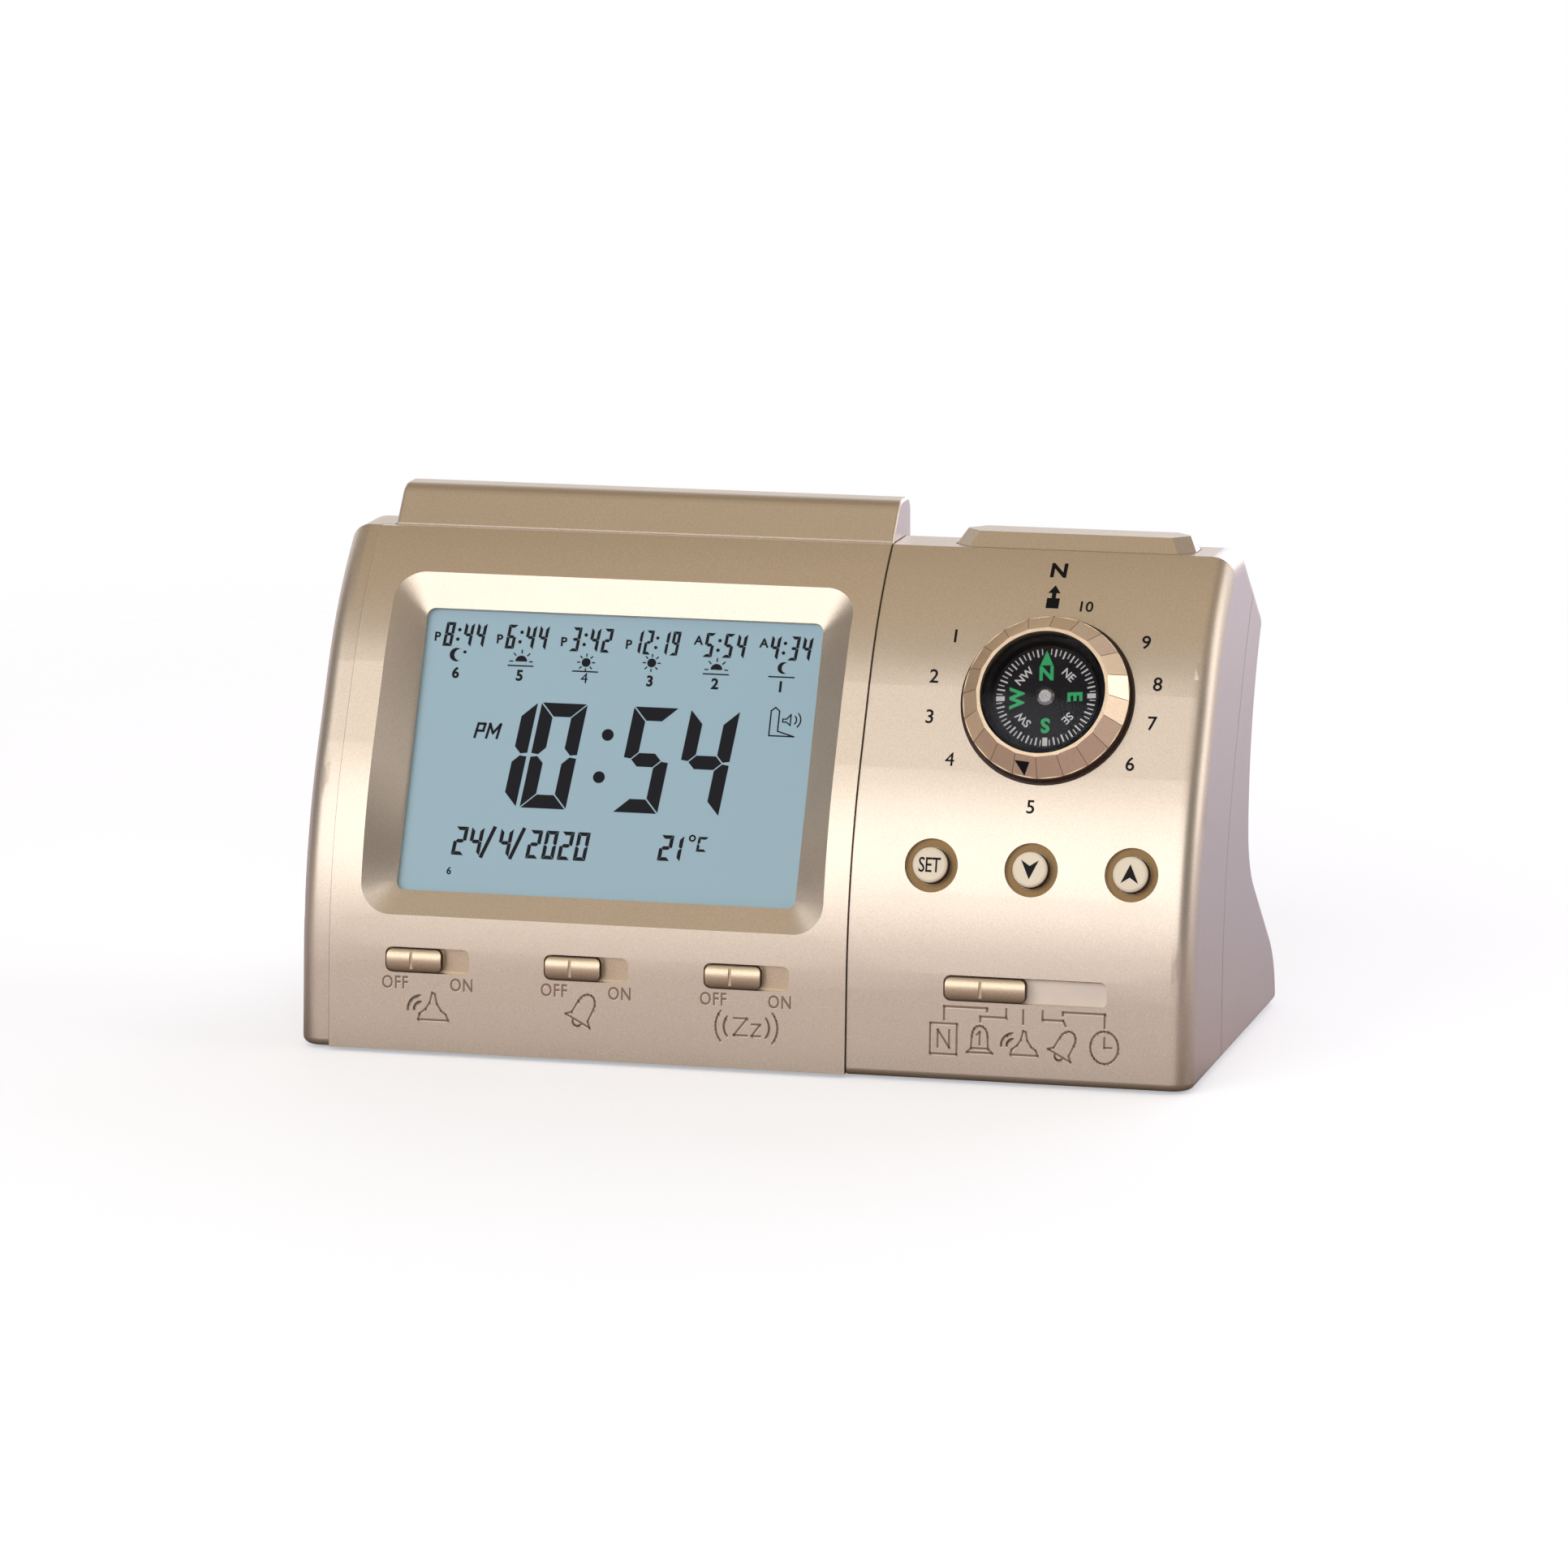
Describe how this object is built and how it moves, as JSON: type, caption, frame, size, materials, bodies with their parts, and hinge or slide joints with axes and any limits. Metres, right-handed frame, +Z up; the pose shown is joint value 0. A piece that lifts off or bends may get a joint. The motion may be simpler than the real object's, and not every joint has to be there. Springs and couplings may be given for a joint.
{
  "type": "table clock",
  "caption": "Table-top prayer-time alarm clock with a raked metallic casing, wide liquid crystal window, compass inside a turning selector ring, push keys, slide switches and a long top bar.",
  "frame": {"origin": "on the surface the clock stands on, under the middle of its width and depth", "axes": "+X to the right as the display is read, +Y to the rear, +Z up"},
  "size_m": [0.15, 0.0745, 0.0887],
  "materials": {
    "casing": "satin metallic champagne paint over ABS",
    "fascia": "satin metallic champagne paint over ABS",
    "screw_steel": "zinc plated",
    "foot_rubber": "matt black rubber",
    "lcd": "polarised liquid crystal cell, bluish grey",
    "diffuser": "milky light guide",
    "led_body": "clear resin",
    "inner_plastic": "grey moulded plastic",
    "contact_rubber": "striped contact rubber",
    "circuit_board": "green solder mask",
    "resin": "black resin",
    "ring_gold": "satin metallic gold paint",
    "contact_metal": "plated contact metal",
    "compass_black": "black",
    "clear_dome": "clear acrylic",
    "key_cream": "cream plastic",
    "switch_black": "black switch housing",
    "spring_steel": "plated steel",
    "magnet": "ferrite",
    "cone_paper": "black pulp",
    "cell_wrap": "plain wrapped AA cell"
  },
  "bodies": {
    "casing": {"backlight_leds": "led_body", "battery_cells": "cell_wrap", "battery_plates": "spring_steel", "battery_springs": "spring_steel", "button_switches": "switch_black", "casing_screws": "screw_steel", "chip_blob": "resin", "clock_crystal": "screw_steel", "compass_base": "compass_black", "compass_dome": "clear_dome", "compass_pivot": "contact_metal", "contact_strip": "contact_rubber", "display_fascia": "fascia", "display_screws": "screw_steel", "front_shell": "casing", "key_shelf": "circuit_board", "lcd_glass": "lcd", "lcd_holder": "inner_plastic", "lcd_light_guide": "diffuser", "main_board": "circuit_board", "mode_liner": "inner_plastic", "rear_cover": "casing", "rubber_feet": "foot_rubber", "selector_board": "circuit_board", "selector_bridge": "inner_plastic", "selector_screws": "screw_steel", "slide_switches": "switch_black", "snooze_springs": "spring_steel", "speaker_basket": "spring_steel", "speaker_cone": "cone_paper", "speaker_magnet": "magnet", "strip_screws": "screw_steel", "switch_board": "circuit_board", "top_switches": "switch_black"},
    "set_button": {"set_button": "key_cream"},
    "down_button": {"down_button": "key_cream"},
    "up_button": {"up_button": "key_cream"},
    "snooze_bar": {"snooze_bar": "casing"},
    "light_button": {"light_button": "casing"},
    "azan_knob": {"azan_knob": "casing"},
    "alarm_knob": {"alarm_knob": "casing"},
    "snooze_knob": {"snooze_knob": "casing"},
    "mode_knob": {"mode_knob": "casing"},
    "city_ring": {"city_ring": "ring_gold", "ring_wiper": "contact_metal"},
    "compass_card": {"compass_card": "compass_black", "compass_cap": "contact_metal"},
    "battery_door": {"battery_door": "casing"}
  },
  "joints": [
    {"name": "set_button_press", "type": "slide", "parent": "casing", "child": "set_button", "axis": [0, 0.9581, -0.2866], "range_m": [0, 0.001], "stiffness_N_per_m": 200, "springref_m": -0.0004},
    {"name": "down_button_press", "type": "slide", "parent": "casing", "child": "down_button", "axis": [0, 0.9581, -0.2866], "range_m": [0, 0.001], "stiffness_N_per_m": 200, "springref_m": -0.0004},
    {"name": "up_button_press", "type": "slide", "parent": "casing", "child": "up_button", "axis": [0, 0.9581, -0.2866], "range_m": [0, 0.001], "stiffness_N_per_m": 200, "springref_m": -0.0004},
    {"name": "snooze_bar_press", "type": "slide", "parent": "casing", "child": "snooze_bar", "axis": [0, 0, -1], "range_m": [0, 0.0012], "stiffness_N_per_m": 300, "springref_m": -0.0008, "deforming": ["snooze_springs"]},
    {"name": "light_button_press", "type": "slide", "parent": "casing", "child": "light_button", "axis": [0, 0, -1], "range_m": [0, 0.0012], "stiffness_N_per_m": 300, "springref_m": -0.0008},
    {"name": "azan_knob_slide", "type": "slide", "parent": "casing", "child": "azan_knob", "axis": [1, 0, 0], "range_m": [0, 0.0042]},
    {"name": "alarm_knob_slide", "type": "slide", "parent": "casing", "child": "alarm_knob", "axis": [1, 0, 0], "range_m": [0, 0.0042]},
    {"name": "snooze_knob_slide", "type": "slide", "parent": "casing", "child": "snooze_knob", "axis": [1, 0, 0], "range_m": [0, 0.0042]},
    {"name": "mode_knob_slide", "type": "slide", "parent": "casing", "child": "mode_knob", "axis": [1, 0, 0], "range_m": [0, 0.0128]},
    {"name": "city_ring_turn", "type": "hinge", "parent": "casing", "child": "city_ring", "pos_m": [0.0478, -0.0211, 0.0608], "axis": [0, -0.8926, 0.4509], "continuous": true},
    {"name": "compass_card_turn", "type": "hinge", "parent": "casing", "child": "compass_card", "pos_m": [0.0478, -0.0211, 0.0608], "axis": [0, -0.8926, 0.4509], "continuous": true},
    {"name": "battery_door_slide", "type": "slide", "parent": "casing", "child": "battery_door", "axis": [0, 1, 0], "range_m": [0, 0.012]}
  ]
}
